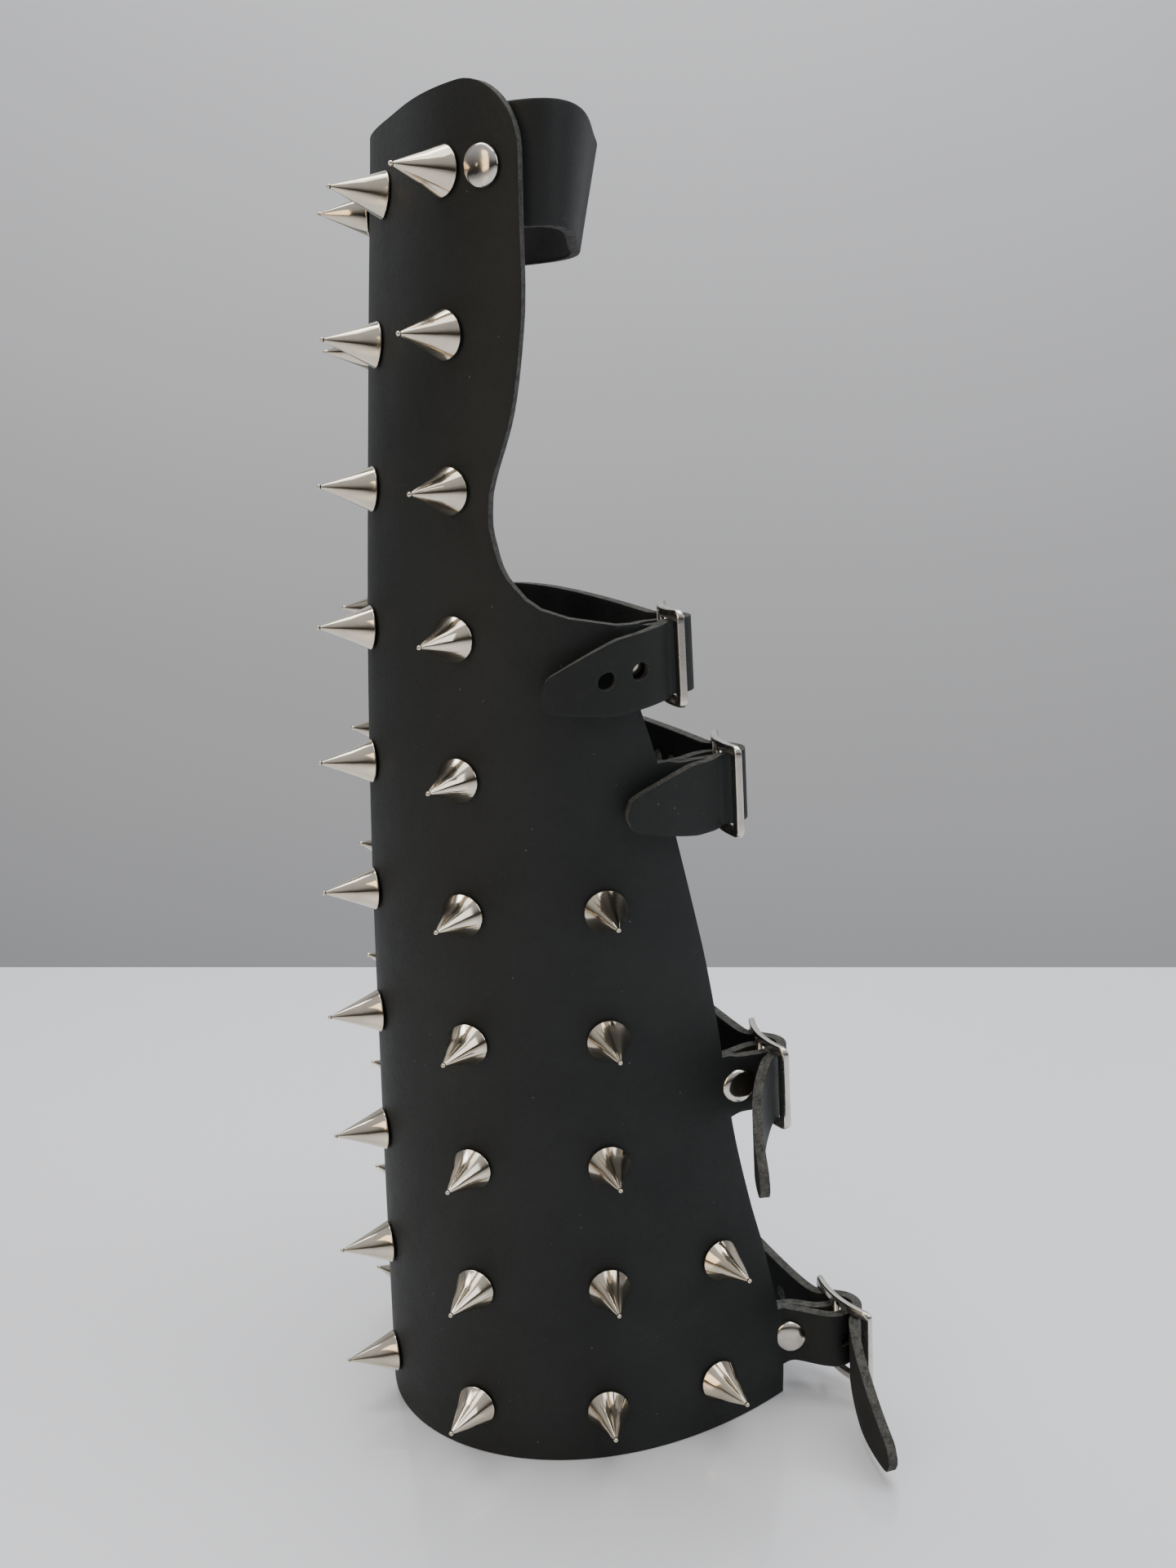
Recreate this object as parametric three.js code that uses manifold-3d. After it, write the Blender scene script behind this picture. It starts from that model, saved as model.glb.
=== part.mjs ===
// Spiked leather arm guard, standing on its wide elbow end.
// Millimetres, +Z up. The ridge of the guard faces -X, the strapped opening faces +X,
// the buckles sit on the -Y side and the two halves mirror each other about the XZ plane.
import * as THREE from 'three';
import { mergeVertices } from 'three/addons/utils/BufferGeometryUtils.js';
import Module from 'manifold-3d';

const wasm = await Module();
wasm.setup();

// Leather shell.
const shell_height = 336;        // elbow edge to the end of the hand plate
const base_half_width = 127;     // ridge to edge, measured along the leather at the elbow
const leather_thickness = 2.5;
const wrap_radius = 50;          // radius of the forearm that the leather wraps
const hand_corner_radius = 16;   // rounding of the two corners of the hand plate

// Spikes.
const spike_base_diameter = 11;
const spike_length = 13.9;
const spike_rim_height = 0.5;    // short straight rim under the cone
const spike_tip_radius = 0.6;
const spike_first_row_height = 13.4;
const spike_last_row_from_end = 17.5;
const spike_row_count = 10;     // rows evenly spread from the first to the last
const spike_column_pitch = 36.6; // along the leather, ridge to second column

// Rivets.
const rivet_cap_diameter = 9.2;
const rivet_cap_height = 1.7;
const rivet_shank_diameter = 3;
const rivet_back_diameter = 8;
const rivet_back_height = 0.9;
const rivet_seat_gap = 0.7;      // under both caps, over the curve of the leather

// Buckles.
const buckle_length = 23.6;      // across the two end bars
const buckle_side_clearance = 0.35; // between a strap's edges and the long bars
const buckle_bar_width = 2.4;
const buckle_bar_thickness = 1.8;
const buckle_corner_radius = 2;
const buckle_bow = 2.4;          // rise of the end bars over the middle of the long bars
const centre_bar_diameter = 2.4;
const prong_diameter = 1.7;
const prong_slot_height = 3.6;   // slot in the folded tab that the prong stands in

// Straps.
const tab_width = 15.5;
const billet_width = 17.5;
const tail_tip_width = 7;
const tab_taper_length = 5;      // from the strap's width to the tab's width
const billet_hole_diameter = 4.2;
const billet_hole_pitch = 8;
const spare_hole_start = 30;     // from the hole in use to the last spare one before the buckle
const hand_strap_width = 25;
const hand_strap_sag = 2.5;      // drop of the hand loop's middle between its rivets
const hand_strap_reach = 31;     // how far the hand loop stands out from the rivets
const hand_strap_flare = 0.22;   // slope of the loop, which stands out further at its top
const hand_rivet_from_end = 18;   // below the end of the hand plate
const hand_rivet_spike_gap = 2;  // between the rivet's cap and the second column's spike
const fold_back_length = 17;     // leather folded back behind the tab

// Clearances.
const seat_gap = 0.3;            // between pieces that rest on each other
const rivet_hole_clearance = 0.3;
const tail_rivet_gap = 0.5;      // between a strap tail and the rivet cap under it
const cut_overrun = 0.7;         // that a hole's cutter reaches past each face

// Outline of one half of the leather: height as a share of shell_height and distance from the
// ridge as a share of base_half_width.
const HALF_OUTLINE = [
  // height share, width share
  [0.000, 1.000],
  [0.020, 0.998],
  [0.134, 0.928],
  [0.180, 0.892],
  [0.247, 0.848],
  [0.352, 0.799],
  [0.393, 0.778],
  [0.433, 0.753],
  [0.473, 0.726],
  [0.559, 0.667],
  [0.598, 0.636],
  [0.624, 0.628],
  [0.650, 0.600],
  [0.655, 0.535],
  [0.661, 0.478],
  [0.670, 0.437],
  [0.679, 0.415],
  [0.691, 0.391],
  [0.707, 0.377],
  [0.724, 0.368],
  [0.740, 0.370],
  [0.756, 0.382],
  [0.771, 0.398],
  [0.787, 0.414],
  [0.802, 0.425],
  [0.832, 0.440],
  [0.862, 0.450],
  [0.880, 0.452],
  [1.000, 0.452],
];

// Bend of the leather round the arm at each height: bend at the ridge (times wrap_radius),
// its change with distance from the ridge (times wrap_radius squared), and how far the ridge
// leans in towards the opening as a share of shell_height.
const BEND = [
  // height share, ridge bend, bend change, ridge lean
  [0.000, 1.142, -0.303, 0.000],
  [0.150, 1.282, -0.442, 0.007],
  [0.300, 1.303, -0.441, 0.015],
  [0.450, 1.205, -0.300, 0.024],
  [0.600, 0.988, -0.019, 0.036],
  [0.750, 0.652, 0.403, 0.052],
  [0.880, 0.264, 0.883, 0.069],
  [1.000, -0.100, 1.380, 0.088],
];

// The four wrist and arm straps, from the wrist down to the elbow.
const STRAPS = [
  // height share of shell_height; as shares of buckle_length, the way from the shell's edge to
  // the buckle's bar (out, and in towards the middle), the tail past the buckle, and the way from
  // the bar back to the tab's rivet; the buckle's
  // turn and the tail's heading in degrees, its droop, its curl outwards, and its spare holes
  {
    height: 0.624, reach: 0.4364, inset: 0.2119, tail: 1.4195,
    turn: -13, heading: 0, droop: 0.13, curl: 0, rivet: 0.424, folded: true, holes: 2,
  },
  {
    height: 0.522, reach: 0.6992, inset: 0.1695, tail: 1.2203,
    turn: -11, heading: 0, droop: 0.07, curl: 0, rivet: 0.45, folded: true, holes: 0,
  },
  {
    height: 0.281, reach: 0.5, inset: 0.0847, tail: 1.1864,
    turn: -4, heading: -48, droop: 0.44, curl: 0.33, rivet: 0.35, folded: false, holes: 0,
  },
  {
    height: 0.0505, reach: 0.6314, inset: -0.2542, tail: 1.3771,
    turn: 7, heading: -32, droop: 0.3, curl: 0.15, rivet: 0.64, folded: false, holes: 0,
  },
];

// Columns of spikes: how many column pitches from the ridge, and the rows each one fills,
// counted from the hand end.
const SPIKE_COLUMNS = [
  // label, column share, first row, last row
  { label: 'a', column: 0, first: 1, last: 10 },
  { label: 'b', column: 1, first: 1, last: 10 },
  { label: 'c', column: 1.97, first: 6, last: 10 },
  { label: 'd', column: 2.83, first: 9, last: 10 },
];

// Smooth value of one column of a table whose first column rises.
function tableAt(table, share, column) {
  const last = table.length - 1;
  let i = 0;
  while (i < last - 1 && share > table[i + 1][0]) i += 1;
  const x0 = table[i][0];
  const x1 = table[i + 1][0];
  const y0 = table[i][column];
  const y1 = table[i + 1][column];
  const slope = (y1 - y0) / (x1 - x0);
  const before = i > 0 ? (y0 - table[i - 1][column]) / (x0 - table[i - 1][0]) : slope;
  const after = i < last - 1 ? (table[i + 2][column] - y1) / (table[i + 2][0] - x1) : slope;
  const m0 = before * slope > 0 ? (2 * before * slope) / (before + slope) : 0;
  const m1 = after * slope > 0 ? (2 * after * slope) / (after + slope) : 0;
  const t = Math.min(Math.max((share - x0) / (x1 - x0), 0), 1);
  const h = x1 - x0;
  const a = (1 + 2 * t) * (1 - t) * (1 - t);
  const b = t * (1 - t) * (1 - t);
  const c = t * t * (3 - 2 * t);
  const d = t * t * (t - 1);
  return a * y0 + b * h * m0 + c * y1 + d * h * m1;
}

// Half width of the leather at a height, with the rounded corners of the hand plate.
function halfWidth(z) {
  const width = tableAt(HALF_OUTLINE, z / shell_height, 1) * base_half_width;
  const above = z - (shell_height - hand_corner_radius);
  if (above <= 0) return width;
  const drop = Math.min(above, hand_corner_radius);
  const left = Math.sqrt(hand_corner_radius ** 2 - drop ** 2);
  return width - hand_corner_radius + left;
}

// Outer face of the leather at s along it from the ridge (positive towards -Y) and height z.
function shellPoint(s, z) {
  const share = Math.min(Math.max(z / shell_height, 0), 1);
  const bend = tableAt(BEND, share, 1) / wrap_radius;
  const change = tableAt(BEND, share, 2) / wrap_radius ** 2;
  const steps = 24;
  let x = tableAt(BEND, share, 3) * shell_height;
  let y = 0;
  for (let i = 0; i < steps; i += 1) {
    const mid = ((i + 0.5) / steps) * s;
    const turn = bend * mid + 0.5 * change * mid * Math.abs(mid);
    x += (Math.sin(turn) * s) / steps;
    y -= (Math.cos(turn) * s) / steps;
  }
  return new THREE.Vector3(x, y, z);
}

// Direction out of the leather at the same place.
function shellNormal(s, z) {
  const step = 0.2;
  const low = Math.max(z - step, 0);
  const high = Math.min(z + step, shell_height);
  const along = shellPoint(s + step, z).sub(shellPoint(s - step, z));
  const up = shellPoint(s, high).sub(shellPoint(s, low));
  return along.cross(up).normalize();
}

// Direction along the leather, away from the ridge on the buckle side, level with the ground.
function shellTangent(s, z) {
  const step = 0.2;
  return shellPoint(s + step, z).sub(shellPoint(s - step, z)).setZ(0).normalize();
}

// A sheet of leather: points on its middle surface, the direction out of it at each, and the
// triangles between them. solid() gives it its thickness and closes every free edge.
class Sheet {
  constructor() {
    this.middle = [];
    this.out = [];
    this.faces = [];
  }

  add(point, out) {
    this.middle.push(point);
    this.out.push(out.clone().normalize());
    return this.middle.length - 1;
  }

  quad(a, b, c, d) {
    this.faces.push([a, b, c], [a, c, d]);
  }

  // Joins two columns of points that run upwards, the second further along the sheet.
  join(first, second) {
    for (let i = 0; i + 1 < first.length; i += 1) {
      this.quad(first[i], second[i], second[i + 1], first[i + 1]);
    }
  }

  solid(thickness) {
    const count = this.middle.length;
    const points = [];
    for (const side of [1, -1]) {
      for (let i = 0; i < count; i += 1) {
        const shift = this.out[i].clone().multiplyScalar((side * thickness) / 2);
        points.push(this.middle[i].clone().add(shift));
      }
    }
    const index = [];
    const edges = new Map();
    for (const [a, b, c] of this.faces) {
      index.push(a, b, c, a + count, c + count, b + count);
      for (const [p, q] of [[a, b], [b, c], [c, a]]) {
        if (!edges.delete(`${q}:${p}`)) edges.set(`${p}:${q}`, [p, q]);
      }
    }
    for (const [p, q] of edges.values()) {
      index.push(p, p + count, q + count, p, q + count, q);
    }
    const geometry = new THREE.BufferGeometry().setFromPoints(points);
    geometry.setIndex(index);
    return geometry;
  }
}

// A closed mesh as a solid that can be cut and joined, and back again.
function toSolid(geometry) {
  const bare = geometry.clone();
  for (const name of Object.keys(bare.attributes)) {
    if (name !== 'position') bare.deleteAttribute(name);
  }
  const merged = mergeVertices(bare, 1e-4);
  const mesh = new wasm.Mesh({
    numProp: 3,
    vertProperties: new Float32Array(merged.attributes.position.array),
    triVerts: new Uint32Array(merged.index.array),
  });
  return new wasm.Manifold(mesh);
}

function toGeometry(solid) {
  const mesh = solid.getMesh();
  const geometry = new THREE.BufferGeometry();
  geometry.setAttribute('position', new THREE.BufferAttribute(mesh.vertProperties, 3));
  geometry.setIndex(new THREE.BufferAttribute(mesh.triVerts, 1));
  return geometry;
}

// Matrix that puts a shape's own +Z along a direction, with its origin at a point.
function placeAlong(point, direction, turnTo) {
  const z = direction.clone().normalize();
  const guide = turnTo ?? (Math.abs(z.z) < 0.9 ? new THREE.Vector3(0, 0, 1) : new THREE.Vector3(1, 0, 0));
  const x = guide.clone().sub(z.clone().multiplyScalar(guide.dot(z))).normalize();
  const y = z.clone().cross(x);
  return new THREE.Matrix4().makeBasis(x, y, z).setPosition(point);
}

function cylinderAlong(point, direction, diameter, length, sides = 12) {
  const shape = new THREE.CylinderGeometry(diameter / 2, diameter / 2, length, sides);
  shape.rotateX(Math.PI / 2);
  return shape.applyMatrix4(placeAlong(point, direction));
}

// Rows of the shell, with one at each strap's two edges and middle.
const strapHeights = STRAPS.map((strap) => strap.height * shell_height);
const rows = new Set([0, shell_height - hand_corner_radius]);
for (const z of strapHeights) {
  rows.add(z - billet_width / 2);
  rows.add(z);
  rows.add(z + billet_width / 2);
}
for (const degrees of [30, 55, 75, 90]) {
  const rise = hand_corner_radius * Math.sin((degrees * Math.PI) / 180);
  rows.add(shell_height - hand_corner_radius + rise);
}
for (const share of [0.655, 0.662, 0.673, 0.688, 0.710]) {
  if (share * shell_height > strapHeights[0] + billet_width / 2 + 1) rows.add(share * shell_height);
}
const fixedRows = [...rows].sort((a, b) => a - b);
const levels = [];
const row_step = 17;
for (let i = 0; i + 1 < fixedRows.length; i += 1) {
  const gap = fixedRows[i + 1] - fixedRows[i];
  const parts = Math.max(1, Math.round(gap / row_step));
  for (let j = 0; j < parts; j += 1) levels.push(fixedRows[i] + (gap * j) / parts);
}
levels.push(shell_height);

const columns_per_half = 10;
const leather = new Sheet();
const grid = [];
for (let column = -columns_per_half; column <= columns_per_half; column += 1) {
  const line = [];
  for (const z of levels) {
    const s = (column / columns_per_half) * halfWidth(z);
    // The elbow edge is cut square to the ground that it stands on.
    const out = z === 0 ? shellNormal(s, z).setZ(0).normalize() : shellNormal(s, z);
    const middle = shellPoint(s, z).sub(out.clone().multiplyScalar(leather_thickness / 2));
    line.push(leather.add(middle, out));
  }
  grid.push(line);
}
for (let column = 0; column + 1 < grid.length; column += 1) {
  leather.join(grid[column], grid[column + 1]);
}

// Points of a smooth curve in the ground plane between two places, leaving and arriving in
// given directions.
function easeCurve(from, leave, to, arrive, count, pull = 1) {
  const reach = from.distanceTo(to) * pull;
  const points = [];
  for (let i = 0; i <= count; i += 1) {
    const t = i / count;
    const a = (1 + 2 * t) * (1 - t) * (1 - t);
    const b = t * (1 - t) * (1 - t) * reach;
    const c = t * t * (3 - 2 * t);
    const d = t * t * (t - 1) * reach;
    points.push(new THREE.Vector2(
      a * from.x + b * leave.x + c * to.x + d * arrive.x,
      a * from.y + b * leave.y + c * to.y + d * arrive.y,
    ));
  }
  return points;
}

// Point on a line of points at a distance from its start, with the direction there.
function alongLine(line, distance) {
  let left = distance;
  for (let i = 0; i + 1 < line.length; i += 1) {
    const length = line[i].distanceTo(line[i + 1]);
    if (left <= length || i + 2 === line.length) {
      const direction = line[i + 1].clone().sub(line[i]).normalize();
      return { point: line[i].clone().addScaledVector(direction, left), direction };
    }
    left -= length;
  }
  return null;
}

function lineLength(line) {
  let total = 0;
  for (let i = 0; i + 1 < line.length; i += 1) total += line[i].distanceTo(line[i + 1]);
  return total;
}

const flat = (v) => new THREE.Vector2(v.x, v.y);
const leftOf = (v) => new THREE.Vector2(-v.y, v.x);

// Lays a strap over a line of points in the ground plane. width(d) and lift(d) give its width
// and the height of its middle at a distance along the line. side is 1 where the leather's
// outer face lies on the right of the line and -1 where it lies on the left.
function layStrap(sheet, line, width, lift, side, firstColumn) {
  let previous = firstColumn;
  let distance = 0;
  for (let i = 0; i < line.length; i += 1) {
    if (i > 0) distance += line[i].distanceTo(line[i - 1]);
    if (i === 0 && firstColumn) continue;
    const before = line[Math.max(i - 1, 0)];
    const after = line[Math.min(i + 1, line.length - 1)];
    const direction = after.clone().sub(before).normalize();
    const left = leftOf(direction);
    const out = new THREE.Vector3(-left.x * side, -left.y * side, 0);
    const column = [];
    for (const share of [-0.5, 0, 0.5]) {
      const z = lift(distance) + share * width(distance);
      column.push(sheet.add(new THREE.Vector3(line[i].x, line[i].y, z), out));
    }
    if (previous) {
      if (side > 0) sheet.join(previous, column);
      else sheet.join(column, previous);
    }
    previous = column;
  }
}

const group = new THREE.Group();
const parts = [];
const holeCutters = [];

const leatherMaterial = new THREE.MeshStandardMaterial({ color: 0x17191a, roughness: 0.72, metalness: 0 });
const nickelMaterial = new THREE.MeshStandardMaterial({ color: 0xcfcac2, roughness: 0.16, metalness: 1 });

function addPart(name, geometry, material) {
  geometry.computeVertexNormals();
  const mesh = new THREE.Mesh(geometry, material.clone());
  mesh.name = name;
  group.add(mesh);
  parts.push(mesh);
  return mesh;
}

// A tubular rivet with a domed cap outside and a flat cap inside, its +Z pointing out of the
// leather and its origin on the leather's outer face.
function rivetGeometry(stack) {
  const cap = rivet_cap_diameter / 2;
  const shank = rivet_shank_diameter / 2;
  const back = rivet_back_diameter / 2;
  const top = rivet_seat_gap;
  const under = -stack - rivet_seat_gap;
  const profile = [
    [0, top + rivet_cap_height],
    [cap * 0.55, top + rivet_cap_height * 0.82],
    [cap * 0.88, top + rivet_cap_height * 0.4],
    [cap, top],
    [shank, top],
    [shank, under],
    [back, under],
    [back * 0.8, under - rivet_back_height],
    [0, under - rivet_back_height],
  ];
  const points = profile.map(([r, z]) => new THREE.Vector2(r, z)).reverse();
  return new THREE.LatheGeometry(points, 12).rotateX(Math.PI / 2);
}

function addRivet(name, point, out, stack) {
  const rivet = rivetGeometry(stack);
  rivet.applyMatrix4(placeAlong(point, out));
  addPart(name, rivet, nickelMaterial);
  const hole = rivet_shank_diameter + 2 * rivet_hole_clearance;
  const middle = point.clone().addScaledVector(out, -stack / 2);
  const holes = [cylinderAlong(middle, out, hole, stack + 2 * cut_overrun, 8)];
  // Curved leather is pressed flat under the caps.
  const clear = rivet_hole_clearance;
  const seats = [
    [rivet_cap_diameter, rivet_cap_height, rivet_seat_gap],
    [rivet_back_diameter, rivet_back_height, -stack - rivet_seat_gap - rivet_back_height],
  ];
  for (const [diameter, height, foot] of seats) {
    const seat = point.clone().addScaledVector(out, foot + height / 2);
    holes.push(cylinderAlong(seat, out, diameter + 2 * clear, height + clear, 16));
  }
  return holes;
}

const bar_radius = centre_bar_diameter / 2;
const buckle_height = billet_width + 2 * (buckle_side_clearance + buckle_bar_width);
const half = leather_thickness / 2;
const fold_radius = bar_radius + seat_gap + half;
const over_radius = fold_radius + half + seat_gap + half;
const end_bar_inner = buckle_length / 2 - buckle_bar_width;
const end_bar_drop = -buckle_bow;
const corner_radius = half + 1.6 * seat_gap;
// Height of the end bars' inner lower corners over the centre bar.
const inner_corner_rise = buckle_bow * (end_bar_inner / (buckle_length / 2)) ** 2 - buckle_bar_thickness / 2;

// Direction of the straight run between the end bar's corner and the folded tab.
function windowSlope() {
  const dx = end_bar_inner;
  const dy = -inner_corner_rise;
  const reach = over_radius + corner_radius;
  return Math.atan2(dy, dx) + Math.asin(reach / Math.hypot(dx, dy));
}

// Flat frame with bowed long bars and a round centre bar. x runs across the end bars, y along
// them and z outwards.
function buckleFrame() {
  const outline = (length, height, radius, Type) => {
    const x = length / 2 - radius;
    const y = height / 2 - radius;
    const points = [];
    const corners = [[x, -y, -90], [x, y, 0], [-x, y, 90], [-x, -y, 180]];
    for (const [cx, cy, start] of corners) {
      for (const turn of [0, 45, 90]) {
        const a = ((start + turn) * Math.PI) / 180;
        points.push(new THREE.Vector2(cx + radius * Math.cos(a), cy + radius * Math.sin(a)));
      }
      // Points along each long bar let it bow.
      if (start === 0 || start === 180) {
        for (const share of [0.6, 0.2, -0.2, -0.6]) {
          points.push(new THREE.Vector2(cx * share, cy + Math.sign(cy) * radius));
        }
      }
    }
    return new Type(points);
  };
  const plate = outline(buckle_length, buckle_height, buckle_corner_radius, THREE.Shape);
  plate.holes.push(outline(
    buckle_length - 2 * buckle_bar_width,
    buckle_height - 2 * buckle_bar_width,
    buckle_corner_radius * 0.4,
    THREE.Path,
  ));
  const frame = new THREE.ExtrudeGeometry(plate, { depth: buckle_bar_thickness, bevelEnabled: false });
  frame.translate(0, 0, -buckle_bar_thickness / 2);
  const position = frame.attributes.position;
  for (let i = 0; i < position.count; i += 1) {
    const share = Math.min(Math.abs(position.getX(i)) / (buckle_length / 2), 1);
    position.setZ(i, position.getZ(i) - end_bar_drop * share * share);
  }
  const bar = new THREE.CylinderGeometry(bar_radius, bar_radius, buckle_height - buckle_bar_width, 10);
  return toGeometry(toSolid(frame).add(toSolid(bar)));
}

// Prong: a hook round the centre bar and a straight finger that lies on the far end bar.
function prongGeometry() {
  const ring = bar_radius + seat_gap + prong_diameter / 2;
  const rest = -end_bar_drop + buckle_bar_thickness / 2 + seat_gap + prong_diameter / 2;
  const tip = -(buckle_length / 2 + 0.6);
  const points = [];
  for (const degrees of [-150, -110, -70, -30, 10, 45, 75]) {
    const a = (degrees * Math.PI) / 180;
    points.push(new THREE.Vector3(ring * Math.cos(a), 0, ring * Math.sin(a)));
  }
  points.push(new THREE.Vector3(tip * 0.35, 0, ring * 0.95 + (rest - ring) * 0.35));
  points.push(new THREE.Vector3(tip * 0.75, 0, rest + (ring - rest) * 0.2));
  points.push(new THREE.Vector3(tip, 0, rest));
  const path = new THREE.CatmullRomCurve3(points, false, 'centripetal');
  const section = new THREE.Shape();
  section.absarc(0, 0, prong_diameter / 2, 0, Math.PI * 2, false);
  return new THREE.ExtrudeGeometry(section, {
    extrudePath: path,
    steps: 14,
    bevelEnabled: false,
    curveSegments: 3,
  });
}

STRAPS.forEach((strap, index) => {
  const number = index + 1;
  const z = strapHeights[index];
  const low = levels.findIndex((level) => Math.abs(level - (z - billet_width / 2)) < 1e-6);
  const rowsHere = [low, low + 1, low + 2];
  const nearColumn = rowsHere.map((row) => grid[grid.length - 1][row]);
  const farColumn = rowsHere.map((row) => grid[0][row]);
  const edge = halfWidth(z);
  const tailLength = strap.tail * buckle_length;
  const rivetDistance = strap.rivet * buckle_length;
  const edgeMiddle = leather.middle[nearColumn[1]];
  const start = flat(edgeMiddle);
  const leave = flat(shellTangent(edge, z));

  // Buckle axes: v points away from the shell, u across the bars towards the buckle side.
  const angle = (strap.turn * Math.PI) / 180;
  const v = new THREE.Vector2(Math.cos(angle), Math.sin(angle));
  const u = new THREE.Vector2(v.y, -v.x);
  const bar = start.clone().add(new THREE.Vector2(strap.reach, strap.inset).multiplyScalar(buckle_length));
  const at = (a, b) => bar.clone().addScaledVector(u, a).addScaledVector(v, b);

  // The tab runs to the bar, folds round it and comes back behind itself.
  const outer = easeCurve(start, leave, at(fold_radius, 0), v, 6);
  const fold = [];
  for (const degrees of [36, 72, 108, 144, 180]) {
    const a = (degrees * Math.PI) / 180;
    fold.push(at(fold_radius * Math.cos(a), fold_radius * Math.sin(a)));
  }
  const backwards = [...outer].reverse();
  const outerLength = lineLength(outer);
  const back_length = Math.min(fold_back_length, outerLength + fold_back_length / 3);
  const shellLine = [];
  for (let i = 1; i <= 16; i += 1) {
    const s = edge - (i * base_half_width) / 32;
    const out = shellNormal(s, z);
    const p = shellPoint(s, z).addScaledVector(out, -half);
    shellLine.push(flat(p));
  }
  const inwards = [...backwards, ...shellLine];
  const returned = [];
  const foldGap = leather_thickness + seat_gap;
  for (let i = 1; i <= 5; i += 1) {
    const d = (back_length * i) / 5;
    const spot = alongLine(inwards, d);
    const ease = THREE.MathUtils.smoothstep(d, fold_radius * 0.8, back_length * 0.6);
    const offset = THREE.MathUtils.lerp(2 * fold_radius, foldGap, ease);
    returned.push(spot.point.clone().addScaledVector(leftOf(spot.direction), -offset));
  }
  const tabLine = [...outer, ...fold, ...returned];
  const tabTaper = Math.min(tab_taper_length, outerLength / 2);
  const tabWidth = (d) => THREE.MathUtils.lerp(
    billet_width, tab_width, THREE.MathUtils.smoothstep(d, 0, tabTaper));
  layStrap(leather, tabLine, tabWidth, () => z, 1, nearColumn);

  // The billet crosses from the far edge, passes under the far end bar, over the fold and
  // down past the near end bar.
  const slope = windowSlope();
  const corner = (side) => at(side * end_bar_inner, inner_corner_rise);
  const arc = (centre, radius, from, to, count) => {
    const points = [];
    for (let i = 0; i <= count; i += 1) {
      const a = from + ((to - from) * i) / count;
      const out = u.clone().multiplyScalar(Math.sin(a) * radius);
      points.push(centre.clone().add(out).addScaledVector(v, -Math.cos(a) * radius));
    }
    return points;
  };
  const enter = (12 * Math.PI) / 180;
  const weave = [
    ...arc(corner(-1), corner_radius, enter, slope, 2),
    ...arc(bar, over_radius, Math.PI + slope, Math.PI + (strap.folded ? -Math.PI / 2 : -slope), 5),
  ];
  let tail;
  if (strap.folded) {
    // Lies back along the tab and the shell, lifted over the rivet's cap.
    const rise = rivet_seat_gap + rivet_cap_height + tail_rivet_gap - seat_gap;
    tail = [];
    const count = 10;
    for (let i = 1; i <= count; i += 1) {
      const d = (tailLength * i) / count;
      const spot = alongLine(inwards, d);
      const lift = THREE.MathUtils.smoothstep(d, 2 * rivet_seat_gap, rivetDistance * 0.6) * rise;
      const offset = leather_thickness + seat_gap + lift;
      tail.push(spot.point.clone().addScaledVector(leftOf(spot.direction), offset));
    }
  } else {
    const leaveAngle = (strap.heading * Math.PI) / 180;
    const exit = arc(corner(1), corner_radius, -slope, leaveAngle, 2);
    const heading = u.clone().multiplyScalar(Math.cos(leaveAngle));
    heading.addScaledVector(v, Math.sin(leaveAngle));
    tail = [...exit];
    const from = exit[exit.length - 1];
    for (let i = 1; i <= 7; i += 1) {
      const d = (tailLength * i) / 7;
      const curl = (strap.curl * d * d) / buckle_length;
      tail.push(from.clone().addScaledVector(heading, d).addScaledVector(leftOf(heading), curl));
    }
  }
  const farStart = new THREE.Vector2(start.x, -start.y);
  const farLeave = new THREE.Vector2(leave.x, -leave.y);
  const heading = u.clone().multiplyScalar(Math.cos(enter)).addScaledVector(v, Math.sin(enter));
  const crossing = easeCurve(farStart, farLeave, weave[0], heading, 9, 0.5);
  const billetLine = [...crossing, ...weave.slice(1), ...tail];
  const billetLength = lineLength(billetLine);
  const taper = billet_width * 1.05;
  const billetWidth = (d) => {
    const left = billetLength - d;
    if (left >= taper) return billet_width;
    const share = left / taper;
    return tail_tip_width + (billet_width - tail_tip_width) * Math.sqrt(1 - (1 - share) ** 2);
  };
  const tailStart = billetLength - tailLength;
  const billetLift = (d) => z - Math.max(0, d - tailStart) * strap.droop;
  layStrap(leather, billetLine, billetWidth, billetLift, -1, farColumn);

  // Slot for the prong through the fold, and the hole that the prong stands through.
  const foldOuter = fold_radius + half + seat_gap / 2;
  const slotDepth = foldOuter + 1.2 * fold_radius;
  const slot = new THREE.BoxGeometry(slotDepth, 2 * foldOuter, prong_slot_height);
  slot.applyMatrix4(new THREE.Matrix4().makeRotationZ(angle));
  const slotAt = at(0, foldOuter - slotDepth / 2);
  slot.translate(slotAt.x, slotAt.y, z);

  const tube = prongGeometry();
  const axes = new THREE.Matrix4().makeBasis(
    new THREE.Vector3(u.x, u.y, 0), new THREE.Vector3(0, 0, -1), new THREE.Vector3(v.x, v.y, 0));
  axes.setPosition(bar.x, bar.y, z);
  const frame = buckleFrame().applyMatrix4(axes);
  tube.applyMatrix4(axes);
  addPart(`buckle-frame-${number}`, frame, nickelMaterial);
  addPart(`buckle-prong-${number}`, tube, nickelMaterial);

  const cutters = [];
  const fingerAt = at(-over_radius, bar_radius + seat_gap + prong_diameter);
  const fingerDirection = new THREE.Vector3(u.x, u.y, 0);
  const finger_reach = 1.3 * over_radius;
  const finger = cylinderAlong(
    new THREE.Vector3(fingerAt.x, fingerAt.y, z), fingerDirection, billet_hole_diameter, finger_reach, 8);
  holeCutters.push({ slot: toSolid(slot), finger: toSolid(finger) });

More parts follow.
